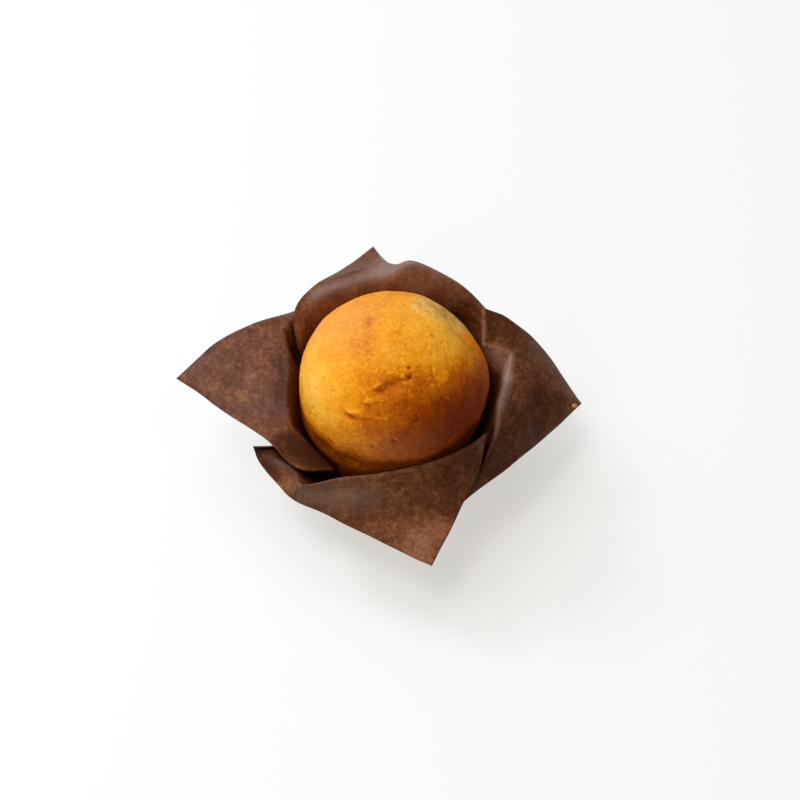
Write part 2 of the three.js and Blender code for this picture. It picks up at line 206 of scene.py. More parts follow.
def petal_columns(petal):
    """Columns of points, with the numbers that the pleats beside the petal go on from.

    A column's shape is the azimuth, radius and height of its rim, how far the flare turns
    round the axis, its slope, its length and its bow.
    """
    rays = petal["rays"]
    rims = [np.array(ray[0], float) for ray in rays]
    edges = [np.array([*to_point(ray[1]), ray[2]]) for ray in rays]
    folds = ["fold" in ray[3] for ray in rays]
    tips = ["tip" in ray[3] for ray in rays]
    steps = COLUMNS_PER_RAY * (len(rays) - 1)
    columns = []
    for k in range(steps + 1):
        rim = curve_at(rims, folds, k / COLUMNS_PER_RAY)
        *edge, bow = curve_at(edges, tips, k / COLUMNS_PER_RAY)
        edge = np.array(edge)
        turned, reach, height = to_cylinder(edge, rim[0]) - rim
        wall = wall_points(mix(*petal["feet"], k / steps), rim)
        slope = math.atan2(height, reach)
        length = math.hypot(height, reach)
        columns.append({
            "points": wall + flare_points(wall, to_point(rim), edge, bow, petal["bend"]),
            "shape": np.array([*rim, turned, slope, length, bow]),
            "bend": petal["bend"],
        })
    return columns


def layer_at(row, azimuth):
    """A layer of the sheet at an azimuth, from numbers given at a list of azimuths."""
    i = int(np.clip(np.searchsorted(row[:, 0], azimuth, side="right") - 1, 0, len(row) - 2))
    share = (azimuth - row[i, 0]) / (row[i + 1, 0] - row[i, 0])
    return mix(row[i], row[i + 1], min(max(share, 0), 1))


def fold_path(overlap, gap):
    """The way through a pleat from crease to crease: a turn, a straight run, a turn back.

    Each column gets how far forward of the inner crease it lies, its share of the way from
    the inner layer to the outer one, and how far out it is moved.
    """
    radius = min(CREASE_RADIUS, gap / LAYER_SPACING)
    rise = gap - 2 * radius
    centres = math.hypot(overlap, rise)
    turn = math.atan2(rise, -overlap) + math.asin(min(1, 2 * radius / centres))
    straight = math.sqrt(max(0, centres**2 - 4 * radius**2))
    arc = radius * turn
    total = 2 * arc + straight

    def on_turn(angle):
        return radius * math.sin(angle), radius * (1 - math.cos(angle))

    def place_at(length):
        if length < arc:
            forward, out = on_turn(length / radius)
            return forward, 0, out
        if length > arc + straight:
            back, inwards = on_turn((total - length) / radius)
            return -overlap - back, 1, -inwards
        forward, out = on_turn(turn)
        along = (length - arc) / straight
        share = mix(along, along**3, min(max(overlap / FULL_HUGGING, 0), 1))
        return mix(forward, -overlap - forward, along), share, out * (1 - 2 * share)

    columns = 2 * TURN_STEPS + PLEAT_STEPS
    places = []
    for k in range(1, columns):
        length = arc + straight * (k - TURN_STEPS) / PLEAT_STEPS
        if k < TURN_STEPS:
            length = arc * k / TURN_STEPS
        if k > TURN_STEPS + PLEAT_STEPS:
            length = total - arc * (columns - k) / TURN_STEPS
        places.append(place_at(mix(total * k / columns, length, min(1, turn / math.pi))))
    return places


def fold_places(inside, outside, slope):
    """The fold path between two layers, as (azimuth, share, out) for each column."""
    start = inside[-1]
    end = outside[0]
    degrees = math.degrees(2 / (start[1] + end[1]))

    def apart(a, b):
        return (b[1] - a[1]) * math.cos(slope) - (b[2] - a[2]) * math.sin(slope)

    gap = min(
        apart(start, layer_at(outside, start[0])),
        apart(layer_at(inside, end[0]), end),
    )
    path = fold_path((start[0] - end[0]) / degrees, gap)
    return [(start[0] + forward * degrees, share, out) for forward, share, out in path]


def moved_out(points, distances):
    """A column moved out of its own surface, row by row."""
    points = np.array(points)
    after = np.vstack([points[1:], points[-1:]])
    before = np.vstack([points[:1], points[:-1]])
    round_ = np.stack([-points[:, 1], points[:, 0], np.zeros(len(points))], axis=1)
    normals = np.cross(round_, after - before)
    normals /= np.linalg.norm(normals, axis=1)[:, None]
    return points + normals * np.array(distances)[:, None]


def shapes_of(columns, near):
    """The columns' shapes, with their azimuths on the same turn as a given one."""
    shapes = np.array([column["shape"] for column in columns])
    shapes[:, 0] += 360 * round((near - shapes[0, 0]) / 360)
    return shapes


def pleat_walls(inner, outer, slope):
    """The pleat's columns up the wall, and how far each of their points is moved out."""
    near = inner[-1]["shape"][0]

    def row_of(columns, k):
        return np.array([to_cylinder(column["points"][k], near) for column in columns])

    count = 2 * TURN_STEPS + PLEAT_STEPS - 1
    feet = row_of(inner, 0)[-1], row_of(outer, 0)[0]
    walls = [[to_point(mix(*feet, (i + 1) / (count + 1)))] for i in range(count)]
    distances = [[0] for _ in walls]
    for k in range(1, len(WALL_SHARES)):
        inside, outside = row_of(inner, k), row_of(outer, k)
        for i, (azimuth, share, out) in enumerate(fold_places(inside, outside, slope)):
            place = mix(layer_at(inside, azimuth), layer_at(outside, azimuth), share)
            walls[i].append(to_point([azimuth, *place[1:]]))
            distances[i].append(out)
    return walls, distances


def pleat_flare(wall, azimuth, share, inner_shape, outer_shape, bend):
    """The bend and the flare of one of the pleat's columns, between its two layers."""
    _, radius, height, turned, _, length, bow = mix(inner_shape, outer_shape, share)
    rise = mix(inner_shape[4], outer_shape[4], share**3)
    length *= 1 - HIDDEN_SHORTENING * math.sin(math.pi * share) ** 2
    rim = to_point([azimuth, radius, height])
    run, climb = length * math.cos(rise), length * math.sin(rise)
    edge = to_point([azimuth + turned, radius + run, height + climb])
    return flare_points(wall, rim, edge, bow, bend)


def pleat_columns(fan, next_fan):
    """The columns from the inner crease of one petal to the outer crease of the next."""
    inner = fan[len(fan) // 2:]
    outer = next_fan[: (len(next_fan) + 1) // 2]
    near, rim_radius, rim_height = inner[-1]["shape"][:3]
    slope = math.atan2(rim_radius - BASE_RADIUS, rim_height)
    walls, distances = pleat_walls(inner, outer, slope)
    inside, outside = shapes_of(inner, near), shapes_of(outer, near)
    columns = []
    for i, (azimuth, share, out) in enumerate(fold_places(inside, outside, slope)):
        layers = layer_at(inside, azimuth), layer_at(outside, azimuth)
        bend = mix(inner[0]["bend"], outer[0]["bend"], share)
        flare = pleat_flare(walls[i], azimuth, share, *layers, bend)
        columns.append(moved_out(walls[i] + flare, distances[i] + [out] * len(flare)))
    return columns


def sheet_grid():
    """The paper's middle surface as an array [column, row, xyz], counterclockwise."""
    fans = [petal_columns(petal) for petal in PETALS.values()]
    columns = []
    for i, fan in enumerate(fans):
        columns += [np.array(column["points"]) for column in fan]
        columns += pleat_columns(fan, fans[(i + 1) % len(fans)])
    grid = np.array(columns)
    base = grid[:, :1] * BASE_RINGS[None, :, None]
    return np.concatenate([base, grid], axis=1)


def new_object(name, vertices, faces, material):
    """A mesh object from vertices in millimetres, smooth-shaded."""
    mesh = bpy.data.meshes.new(name)
    mesh.from_pydata((np.asarray(vertices) * MM).tolist(), [], faces)
    mesh.validate()
    mesh.shade_smooth()
    mesh.materials.append(material)
    obj = bpy.data.objects.new(name, mesh)
    bpy.context.scene.collection.objects.link(obj)
    return obj


def grid_quads(index, across, down):
    """The quads of a grid that is closed sideways, seen from above counterclockwise."""
    quads = []
    for c in range(across):
        d = (c + 1) % across
        quads += [(index(r, c), index(r + 1, c), index(r + 1, d), index(r, d)) for r in range(down)]
    return quads


def crumple(grid):
    """Soft unevenness of the paper, none at its base and most at the petals' edges.

    It is a field in space, so that layers that lie on each other move together.
    """
    reach = np.linspace(0, 1, grid.shape[1])
    for column in grid:
        for point, share in zip(column, reach):
            strength = CRUMPLE_DEPTH * max(0, share - CRUMPLE_START) / (1 - CRUMPLE_START)
            place = Vector(point / CRUMPLE_SIZE)
            point += strength * np.array([noise.noise(place + shift) for shift in CRUMPLE_SHIFTS])
    return grid


def sheet_normals(points, quads):
    """The sheet's upward direction at each point but the first, which no quad touches."""
    normals = np.zeros_like(points)
    corners = np.array(quads)
    a, b, c, d = (points[corners[:, k]] for k in range(4))
    square = np.cross(c - a, d - b)
    for k in range(4):
        np.add.at(normals, corners[:, k], square)
    normals[0] = UP
    return normals / np.linalg.norm(normals, axis=1)[:, None]


def make_paper(material):
    """The sheet with its two sides and the narrow faces round its edge."""
    grid = crumple(sheet_grid())
    across, rows = grid.shape[:2]
    middle = np.concatenate([[[0, 0, 0]], grid.transpose(1, 0, 2).reshape(-1, 3)])

    def index(r, c):
        return 1 + r * across + c

    quads = grid_quads(index, across, rows - 1)
    centre = [(0, index(0, c), index(0, (c + 1) % across)) for c in range(across)]
    normals = sheet_normals(middle, quads)
    base_end = index(len(BASE_RINGS) + 1, 0)
    normals[:base_end] = UP
    half = PAPER_THICKNESS / 2
    lift = half * UP
    upper = middle + normals * half + lift
    lower = middle - normals * half + lift
    below = len(middle)
    faces = centre + quads
    faces += [tuple(below + v for v in reversed(face)) for face in centre + quads]
    last = rows - 1
    for c in range(across):
        d = (c + 1) % across
        p, q = index(last, c), index(last, d)
        faces.append((p, p + below, q + below, q))
    return new_object("paper_sheet", np.concatenate([upper, lower]), faces, material)


# ------------------------------------------------------------------ the muffin
CROWN_RADIUS = 32.8
CLEARANCE = 0.4  # by which the crown is smaller than its radius all round
CROWN_HEIGHT = 43  # of the crown's widest place
CROWN_RISE = 28.8  # from there to its top
CROWN_END = 100  # degrees from the top, where the crown passes into the body
AROUND = 440
CROWN_ROWS = 205
BODY_ROWS = 3  # between two levels

# The body's levels: radius, height, and how much further it bulges to the left.
BODY = [
    (31.4, 34, 2),
    (30.2, 28.5, 2),
    (28.3, 19.5, 1.6),
    (26.3, 10, 0.8),
    (25, 3.5, 0.2),
    (24, 0.8, 0),
]
BULGE_AZIMUTH = 212
BULGE_WIDTH = 42  # degrees

# The broad waves round the crown: height, how many there are, and where they start.
WAVES = [(0.22, 2, 0.6), (0.16, 3, -1), (0.1, 5, 0)]

# Mounds and hollows, each a bell: azimuth and angle from the top of its middle, height, half
# length, half width, and the degrees by which its length is turned from level. The sunken
# shoulder, the dimple and the lip over it differ a little from the solids'.
RELIEF = {
    "sunken shoulder": (24, 59, -4.4, 10.5, 8.5, 0),
    "flat under the pale patch": (48, 51, -1.1, 8, 7, 0),
    "notch at its end": (33, 53, -1.5, 4.2, 3.6, 0),
    "swelling below the patch": (12, 55, 0.5, 8, 5, 20),
    "fuller left foot of the crown": (212, 98, 0.9, 24, 7, 0),
    "long wrinkle": (258, 35, 0.75, 3.6, 1.3, 40),
    "upper wrinkle": (268, 27, 0.45, 3.2, 1.2, 5),
    "short wrinkle": (279, 29, 0.7, 2, 1.2, 20),
    "hollow by the wrinkles": (266, 36, -0.6, 4, 2, 20),
    "lip over the dimple": (243, 57, 0.5, 4.4, 1.3, 0),
    "dimple": (240, 62, -0.6, 3.4, 1.6, 0),
    "fold above the dimple": (252, 47, 0.5, 2.2, 1.2, 25),
    "bump on the right": (321, 44, 0.5, 3, 1.8, 20),
    "low swelling in front": (285, 70, 0.6, 12, 7, 0),
}

# Small ridges and small cracks, with a painted highlight on the ridges and painted shade in the
# cracks.
FINE_RELIEF = {
    "ridge at the long wrinkle's end": (254, 36.5, 0.5, 1.1, 0.6, 40),
    "crack under it": (256, 39, -0.45, 2.0, 0.45, 12),
    "ridge of the upper wrinkle": (268, 27.5, 0.35, 1.4, 0.55, 15),
    "ridge of the short wrinkle": (281, 29.5, 0.4, 0.6, 0.9, 0),
    "crack under the short wrinkle": (281, 32, -0.4, 1.2, 0.4, 0),
    "crossing crack": (288, 31.5, -0.5, 1.3, 0.4, 45),
    "crossed crack": (288, 31.5, -0.4, 1.2, 0.4, -45),
    "pit above the cracks": (291, 25.5, -0.4, 0.6, 0.5, 0),
    "short ridge": (248, 47.5, 0.35, 1.2, 0.5, 10),
    "crack under the short ridge": (248, 49.3, -0.35, 1.3, 0.4, 10),
    "left ridge of the lip": (239, 58, 0.45, 1.6, 0.5, 0),
    "middle ridge of the lip": (243, 56, 0.35, 1.3, 0.5, 10),
    "right ridge of the lip": (247, 53, 0.3, 1.0, 0.5, 30),
    "deepest part of the dimple": (240, 61, -0.5, 1.8, 0.8, 0),
    "left pit": (207, 53, -0.35, 0.7, 0.5, 0),
    "second left pit": (219, 53, -0.35, 0.7, 0.5, 30),
    "third left pit": (211, 77, -0.35, 0.7, 0.6, 0),
    "fourth left pit": (222, 67, -0.35, 0.7, 0.5, 0),
    "ridge by the low speck": (271.5, 70, 0.3, 0.8, 0.4, 20),
    "ridge at the left foot": (232, 87, 0.3, 0.8, 0.4, 0),
}

# The skin's own unevenness: (size, height) of its lumps and of its grain, and its pores.
LUMPS = [(9, 0.3), (3.6, 0.14), (1.3, 0.05)]
PORE_SIZE = 1.7
PORE_SHIFT = Vector((7, 3, 5))
PORE_START = 0.42  # value of the noise above which there is a pore
PORE_DEPTH = 1.1
SKIN_CENTRE = np.array([0, 0, 35])  # the skin is moved straight away from here

# How brown the crust is, painted light and shade included: 0 is pale, 1 is dark. Each patch adds to
# it like a mound.
EVEN_BROWNING = 0.43
# Painted highlight on the fine ridges and painted shade in the fine cracks, taken from or added to
# the browning.
RIDGE_LIGHT_AND_SHADE = -0.35  # for each millimetre of fine relief
BROWNING_LIGHT_AND_SHADE = {
    # Paler crust and painted light on the lit left flank.
    "pale and lit left flank": (203, 66, -0.26, 20, 15, 0),
    "golden upper right": (8, 38, -0.26, 19, 16, 0),
    # Browning and painted shade on the shaded right and front.
    "browned and shaded right": (325, 72, 0.42, 24, 17, 0),
    "browned and shaded front": (285, 75, 0.22, 24, 15, 0),
    "browned middle": (275, 40, 0.07, 12, 6, 20),
    # Painted shade on the left foot, below the crown's widest place.
    "left foot": (215, 99, 0.3, 18, 5.5, 0),
    "wrinkles": (264, 35, 0.1, 8, 4, 30),
    "dimple": (241, 61, 0.1, 5, 2.5, 0),
    "spot on top": (61, 32, 0.3, 1.6, 1.2, 0),
    "spot at the upper left": (149, 18, 0.12, 3, 1.6, 30),
    "speck in the pale patch": (44, 29, 0.4, 1.2, 0.8, 0),
    "speck by the cracks": (291, 25.5, 0.35, 0.7, 0.6, 0),
    "speck on the right": (358, 23, 0.35, 0.8, 0.5, 0),
    "speck in front": (285, 58, 0.4, 0.8, 0.6, 0),
    "low speck in front": (270, 71, 0.4, 0.9, 0.7, 0),
    "lower speck": (257, 78, 0.35, 0.7, 0.6, 0),
    "speck at the left foot": (230, 88, 0.35, 0.9, 0.6, 0),
}
# Where the skin is pale dough that hasn't browned.
PALENESS = {
    "pale patch": (46, 55, 1.05, 11, 19, 0),
    "spot by the patch": (5, 26, 0.6, 0.8, 0.6, 0),
    "spot at the right": (12, 37, 0.5, 1.4, 0.6, 0),
    "spot on the right side": (318, 41, 0.5, 0.9, 0.6, 0),
    "spot beside it": (322, 47, 0.5, 0.7, 0.6, 0),
}
# Where painted sheen, a pale greyish painted reflection of the lights, lies on the skin.
PAINTED_CRUST_SHEEN = {
    "upper left": (150, 30, 0.55, 15, 11, 0),
    "left back": (165, 60, 0.4, 12, 12, 0),
    "front": (266, 80, 0.35, 17, 8, 0),
}


def bells(table, azimuth, polar):
    """The sum of a table's mounds at arrays of azimuth and angle from the top."""
    total = np.zeros_like(azimuth)
    for at_azimuth, at_polar, height, half_length, half_width, turn in table.values():
        turned = (azimuth - at_azimuth + 540) % 360 - 180
        level = np.radians(turned) * CROWN_RADIUS * np.sin(np.radians(polar))
        upwards = np.radians(at_polar - polar) * CROWN_RADIUS
        slant = math.radians(turn)
        along = (level * math.cos(slant) + upwards * math.sin(slant)) / half_length
        across = (upwards * math.cos(slant) - level * math.sin(slant)) / half_width
        total += height * np.exp(-along**2 - across**2)
    return total


def unevenness(azimuth, polar):
    """The waves round the crown, none at its top."""
    angle = np.radians(azimuth)
    fade = np.sin(np.radians(np.minimum(polar, 90))) ** 2
    return fade * sum(height * np.cos(count * angle + start) for height, count, start in WAVES)


def rounded(azimuth, radius, height):
    """Points from arrays of azimuth, radius and height."""
    angle = np.radians(azimuth)
    return np.stack([radius * np.cos(angle), radius * np.sin(angle), height], axis=-1)


def crown_points(azimuth, polar):
    angle = np.radians(polar)
    relief = bells(RELIEF, azimuth, polar) + bells(FINE_RELIEF, azimuth, polar)
    swell = 1 + (relief + unevenness(azimuth, polar) - CLEARANCE) / CROWN_RADIUS
    rise = CROWN_RISE * np.cos(angle) * np.where(polar < 90, swell, 1)
    return rounded(azimuth, CROWN_RADIUS * np.sin(angle) * swell, CROWN_HEIGHT + rise)


def body_points(azimuth):
    """Rows from the crown's foot to the bottom, round at each level."""
    levels = np.array(BODY, float)
    at = np.arange(0, (len(levels) - 1) * BODY_ROWS + 1) / BODY_ROWS
    radius, height, further = (np.interp(at, range(len(levels)), levels[:, k]) for k in range(3))
    bell = np.exp(-(((azimuth - BULGE_AZIMUTH) / BULGE_WIDTH) ** 2))
    return rounded(azimuth, radius[:, None] + further[:, None] * bell, height[:, None] + 0 * bell)


def with_skin(point):
    """The point with the skin's soft lumps, grain and scatter of pores."""
    outwards = point - SKIN_CENTRE
    outwards = outwards / np.linalg.norm(outwards)
    place = Vector(point)
    lumps = sum(height * noise.noise(place / size) for size, height in LUMPS)
    pore = max(0, noise.noise(place / PORE_SIZE + PORE_SHIFT) - PORE_START)
    return point + outwards * (lumps - PORE_DEPTH * pore)


def add_levels(muffin, azimuth, polar, body_rows):
    """Keep the crust's colouring at the mesh's vertices; the body goes on as the crown ends."""
    # Painted highlight on the fine ridges and painted shade in the fine cracks.
    ridge_light_and_shade = RIDGE_LIGHT_AND_SHADE * bells(FINE_RELIEF, azimuth, polar)
    levels = {
        "browning_light_and_shade": EVEN_BROWNING + ridge_light_and_shade + bells(BROWNING_LIGHT_AND_SHADE, azimuth, polar),
        "paleness": bells(PALENESS, azimuth, polar),
        "painted_crust_sheen": bells(PAINTED_CRUST_SHEEN, azimuth, polar),
    }
    for name, crown in levels.items():
        top, foot = crown[0, :1], crown[-1]
        values = np.concatenate([top, crown.reshape(-1), np.tile(foot, body_rows), foot[:1]])
        attribute = muffin.data.attributes.new(name, "FLOAT", "POINT")
        attribute.data.foreach_set("value", np.clip(values, 0, 1))


def make_muffin(material):
    azimuths = np.arange(AROUND) * 360 / AROUND
    polars = CROWN_END * np.arange(1, CROWN_ROWS + 1) / CROWN_ROWS
    azimuth, polar = np.meshgrid(azimuths, polars)
    rows = np.concatenate([crown_points(azimuth, polar), body_points(azimuths[None])])
    top = crown_points(np.zeros(1), np.zeros(1))
    points = np.concatenate([top, rows.reshape(-1, 3), [[0, 0, BODY[-1][1]]]])
    count = len(rows)

    def index(r, c):
        return 1 + r * AROUND + c

    faces = grid_quads(index, AROUND, count - 1)
    bottom = len(points) - 1
    for c in range(AROUND):
        d = (c + 1) % AROUND
        faces.append((0, index(0, c), index(0, d)))
        faces.append((index(count - 1, c), bottom, index(count - 1, d)))
    for i in range(index(CROWN_ROWS, 0)):
        points[i] = with_skin(points[i])
    muffin = new_object("muffin_crust", points, faces, material)
    add_levels(muffin, azimuth, polar, count - CROWN_ROWS)
    return muffin


# ------------------------------------------------------------------ materials
class Shader:
    """A material with its nodes made by short calls."""

    def __init__(self, name):
        self.material = bpy.data.materials.new(name)
        self.material.use_nodes = True
        self.tree = self.material.node_tree
        self.tree.nodes.clear()

    def node(self, kind, inputs, **settings):
        node = self.tree.nodes.new("ShaderNode" + kind)
        for key, value in settings.items():
            setattr(node, key, value)
        for key, value in inputs.items():
            if isinstance(value, bpy.types.NodeSocket):
                self.tree.links.new(value, node.inputs[key])
            else:
                node.inputs[key].default_value = value
        return node

    def place(self):
        """The position on the object, in metres."""
        return self.node("TexCoord", {}).outputs["Object"]

    def attribute(self, name):
        """A number kept at the mesh's vertices."""
        return self.node("Attribute", {}, attribute_name=name).outputs["Fac"]

    def noise(self, place, size, detail=3, roughness=0.55):
        """Noise with features of a size in millimetres."""
        inputs = {
            "Vector": place,
            "Scale": 1 / (size * MM),
            "Detail": detail,
            "Roughness": roughness,
        }
        return self.node("TexNoise", inputs).outputs["Fac"]

    def stretched(self, place, scale, turn):
        """The place with its axes turned and scaled."""
        inputs = {"Vector": place, "Scale": scale, "Rotation": turn}
        return self.node("Mapping", inputs).outputs["Vector"]

    def math(self, operation, *values):
        return self.node("Math", dict(enumerate(values)), operation=operation).outputs[0]

    def vector(self, operation, *values):
        return self.node("VectorMath", dict(enumerate(values)), operation=operation)

    def scaled(self, vector, factor):
        inputs = {0: vector, "Scale": factor}
        return self.node("VectorMath", inputs, operation="SCALE").outputs["Vector"]

    def near_line(self, place, start, end, width):
        """1 on the line between two places, falling to 0 at a distance in millimetres."""
        begin = to_point(start) * MM
        way = to_point(end) * MM - begin
        away = self.vector("SUBTRACT", place, tuple(begin)).outputs["Vector"]
        along = self.vector("DOT_PRODUCT", away, tuple(way / way.dot(way))).outputs["Value"]
        share = self.node("Clamp", {"Value": along}).outputs[0]
        foot = self.scaled(tuple(way), share)
        apart = self.vector("DISTANCE", away, foot).outputs["Value"]
        near = self.math("MULTIPLY_ADD", apart, -1 / (width * MM), 1.0)
        return self.node("Clamp", {"Value": near}).outputs[0]

    def wavering(self, place, size, reach):
        """The place moved about by noise, so that lines drawn with it aren't straight."""
        inputs = {"Vector": place, "Scale": 1 / (size * MM)}
        colour = self.node("TexNoise", inputs).outputs["Color"]
        centred = self.vector("SUBTRACT", colour, (0.5, 0.5, 0.5)).outputs["Vector"]
        return self.vector("ADD", place, self.scaled(centred, reach * MM)).outputs["Vector"]

    def ramp(self, value, stops):
        """Colours, or numbers, at positions from 0 to 1."""
        node = self.node("ValToRGB", {"Fac": value})
        elements = node.color_ramp.elements
        while len(elements) < len(stops):
            elements.new(0.5)
        for element, (position, colour) in zip(elements, stops):
            element.position = position
            if not isinstance(colour, tuple):
                colour = (colour, colour, colour)
            element.color = (*colour, 1)
        return node.outputs["Color"]

    def mixed(self, share, a, b, blend="MIX"):
        """Two colours mixed. A Mix node has its colours at inputs 6 and 7 and output 2."""
        node = self.node("Mix", {0: share, 6: a, 7: b}, data_type="RGBA", blend_type=blend)
        return node.outputs[2]

    def bump(self, height, depth, normal=None):
        """Bump of a depth in millimetres."""
        inputs = {"Height": height, "Distance": depth * MM, "Strength": 1.0}
        if normal:
            inputs["Normal"] = normal
        return self.node("Bump", inputs).outputs["Normal"]

    def finish(self, inputs):
        surface = self.node("BsdfPrincipled", inputs).outputs["BSDF"]
        self.node("OutputMaterial", {"Surface": surface})
        return self.material


def srgb(red, green, blue):
    """A colour given from 0 to 255, as the shader's linear values."""
    parts = [value / 255 for value in (red, green, blue)]
    return tuple(p / 12.92 if p <= 0.04045 else ((p + 0.055) / 1.055) ** 2.4 for p in parts)


def opaque(colour):
    return (*colour, 1)


# The crust's colours by its browning with its painted light and shade, and those of the pale dough
# by a noise of its own.
CRUST_COLOURS = [
    (0.0, (0.93, 0.52, 0.13)),
    (0.2, (0.92, 0.43, 0.035)),
    (0.4, (0.82, 0.28, 0.005)),
    (0.55, (0.56, 0.130, 0.002)),
    (0.75, (0.30, 0.045, 0.001)),
    (1.0, (0.14, 0.015, 0.001)),
]
PALE_COLOURS = [(0.36, (0.62, 0.32, 0.04)), (0.6, (0.84, 0.48, 0.13))]
# Colour of the painted sheen on the crust, and how much of it shows.
PAINTED_CRUST_SHEEN_COLOUR = (0.60, 0.29, 0.115)
PAINTED_CRUST_SHEEN_SHARE = 0.6

# How much the broad clouds and the small mottle change the browning, and how much they fray
# the edge of the pale dough.
CLOUDS_IN_BROWNING = 0.3
MOTTLE_IN_BROWNING = 0.26
CLOUDS_IN_PALENESS = 0.9
MOTTLE_IN_PALENESS = 0.5

# From a noise's value to: how much less brown a fleck is, how much of the pale dough shows,
# and how dark a speck is.
FLECK_STEPS = [(0.55, 0.0), (0.68, 0.1)]
PALE_STEPS = [(0.36, 0.0), (0.6, 0.9)]
SPECK_STEPS = [(0.24, 0.55), (0.33, 1.0)]


def crust_material():
    shader = Shader("baked_crust")
    place = shader.place()
    clouds = shader.math("SUBTRACT", shader.noise(place, size=6, detail=4), 0.5)
    mottle_noise = shader.noise(place, size=1.5, detail=4, roughness=0.65)
    mottle = shader.math("SUBTRACT", mottle_noise, 0.5)
    # This level carries painted light and painted shade as well as the crust's browning.
    browning_light_and_shade = shader.attribute("browning_light_and_shade")
    browning_light_and_shade = shader.math("MULTIPLY_ADD", clouds, CLOUDS_IN_BROWNING, browning_light_and_shade)
    browning_light_and_shade = shader.math("MULTIPLY_ADD", mottle, MOTTLE_IN_BROWNING, browning_light_and_shade)
    flecks = shader.ramp(shader.noise(place, size=1.3, detail=2), FLECK_STEPS)
    browning_light_and_shade = shader.math("SUBTRACT", browning_light_and_shade, flecks)
    colour = shader.ramp(browning_light_and_shade, CRUST_COLOURS)
    # Painted sheen on the crust, as strong as its level at the vertices says.
    painted_sheen_colour = shader.mixed(PAINTED_CRUST_SHEEN_SHARE, colour, opaque(PAINTED_CRUST_SHEEN_COLOUR))
    colour = shader.mixed(shader.attribute("painted_crust_sheen"), colour, painted_sheen_colour)
    paleness = shader.attribute("paleness")
    paleness = shader.math("MULTIPLY_ADD", mottle, MOTTLE_IN_PALENESS, paleness)
    paleness = shader.math("MULTIPLY_ADD", clouds, CLOUDS_IN_PALENESS, paleness)
    pale_colour = shader.ramp(shader.noise(place, size=2.6), PALE_COLOURS)
    colour = shader.mixed(shader.ramp(paleness, PALE_STEPS), colour, pale_colour)
    specks = shader.ramp(shader.noise(place, size=0.9, detail=2), SPECK_STEPS)
    colour = shader.mixed(1.0, colour, specks, "MULTIPLY")
    grain = shader.bump(shader.noise(place, size=0.5), depth=0.1)
    return shader.finish({
        "Base Color": colour,
        "Roughness": 0.6,
        "Specular IOR Level": 0.05,
        "Normal": shader.bump(shader.noise(place, size=1.5), depth=0.15, normal=grain),
    })


# Painted light and shade on the paper, in lines and soft strips: where each starts and ends, its
# half width, and how much lighter (or, below zero, darker) the paper is along it. The lighter ones
# are painted highlights along creases and bends and painted light on walls and a tip that the lamps
# leave dim; the darker ones are painted shade in creases, at bends and on shaded flaps and petals.
# Each also raises or lowers the relief.
PAINTED_LIGHT_AND_SHADE_LINES = {
    "fold of the raised flap": ((395.8, 38.3, 55), (384.6, 34.4, 44.5), 1.3, 0.26),
    "from its foot to the ridge": ((384.6, 34.4, 44.5), (375.7, 42.1, 45), 1.2, 0.26),
    "ridge of the right petal": ((375.7, 42.1, 45), (362, 38.3, 44), 1.6, 0.10),
    "start of the left bend": ((150.5, 43.8, 44), (165, 37, 43.8), 0.8, -0.12),
    "left bend": ((165, 37, 43.8), (196, 37.1, 43), 0.8, -0.12),
    "front petal's corner": ((231, 50.2, 38.5), (230.5, 52.6, 31), 0.7, -0.16),
    "start of the front bend": ((231, 50.2, 38.5), (244.5, 41.6, 41.5), 0.9, 0.10),
    "front bend": ((244.5, 41.6, 41.5), (263, 36.6, 42.4), 1.0, 0.08),
    "crease inside the back petal": ((460, 39, 50), (461, 35, 38), 0.6, -0.14),
    "crease to its left": ((480, 39, 48), (481, 34, 36), 0.6, -0.14),
    "fold of the ear": ((208, 46, 35), (231, 50.2, 38.5), 1.3, -0.12),
    "inside of the ear": ((206, 52, 37), (216, 50, 34), 5, -0.12),
    "left petal's lower flap": ((216, 41, 40), (234, 36, 35), 9, -0.2),
    "beside the left bend": ((168, 39.5, 43.6), (194, 39.5, 43), 4, -0.08),
    "right petal's lower half": ((352, 52, 34), (322, 44, 33), 17, -0.12),
    "wall below the right ridge": ((380, 37, 41), (366, 38.5, 40), 6, 0.33),
    "front petal's right end": ((300, 40, 40), (314, 40, 41), 11, -0.1),
    "inside of the back petal": ((440, 38, 46), (490, 37, 44), 9, 0.14),
    "inside of its right end": ((422, 40, 48), (440, 39, 50), 9, 0.16),
    "raised flap's edge": ((397, 38, 55), (403, 34, 54.5), 0.9, -0.25),
    "rest of that edge": ((403, 34, 54.5), (411.5, 31.2, 53), 0.9, -0.25),
    "front petal's tip": ((281, 58, 29), (281, 66, 24), 14, 0.14),
}

# Bands of painted sheen, a greyish painted reflection of the lights on the bends and the back roll:
# where they start and end, half width and strength.
PAINTED_PAPER_SHEEN = {
    "upper right ridge": ((374, 42, 45), (362, 39.2, 44), 2.8, 0.9),
    "middle right ridge": ((362, 39.2, 44), (346, 37.6, 43.4), 3.8, 1.0),
    "lower right ridge": ((346, 37.6, 43.4), (330, 39.5, 42), 2.8, 0.9),
    "right of the back roll": ((428, 45, 54), (442, 45, 57), 7, 0.55),
    "middle of the back roll": ((442, 45, 57), (455, 43, 52), 7, 0.55),
    "left of the back roll": ((455, 43, 52), (488, 42, 49), 6, 0.6),
    "front bend": ((236, 50, 35), (258, 44, 37), 7, 0.35),
}
PAINTED_PAPER_SHEEN_COLOUR = (0.27, 0.18, 0.145)

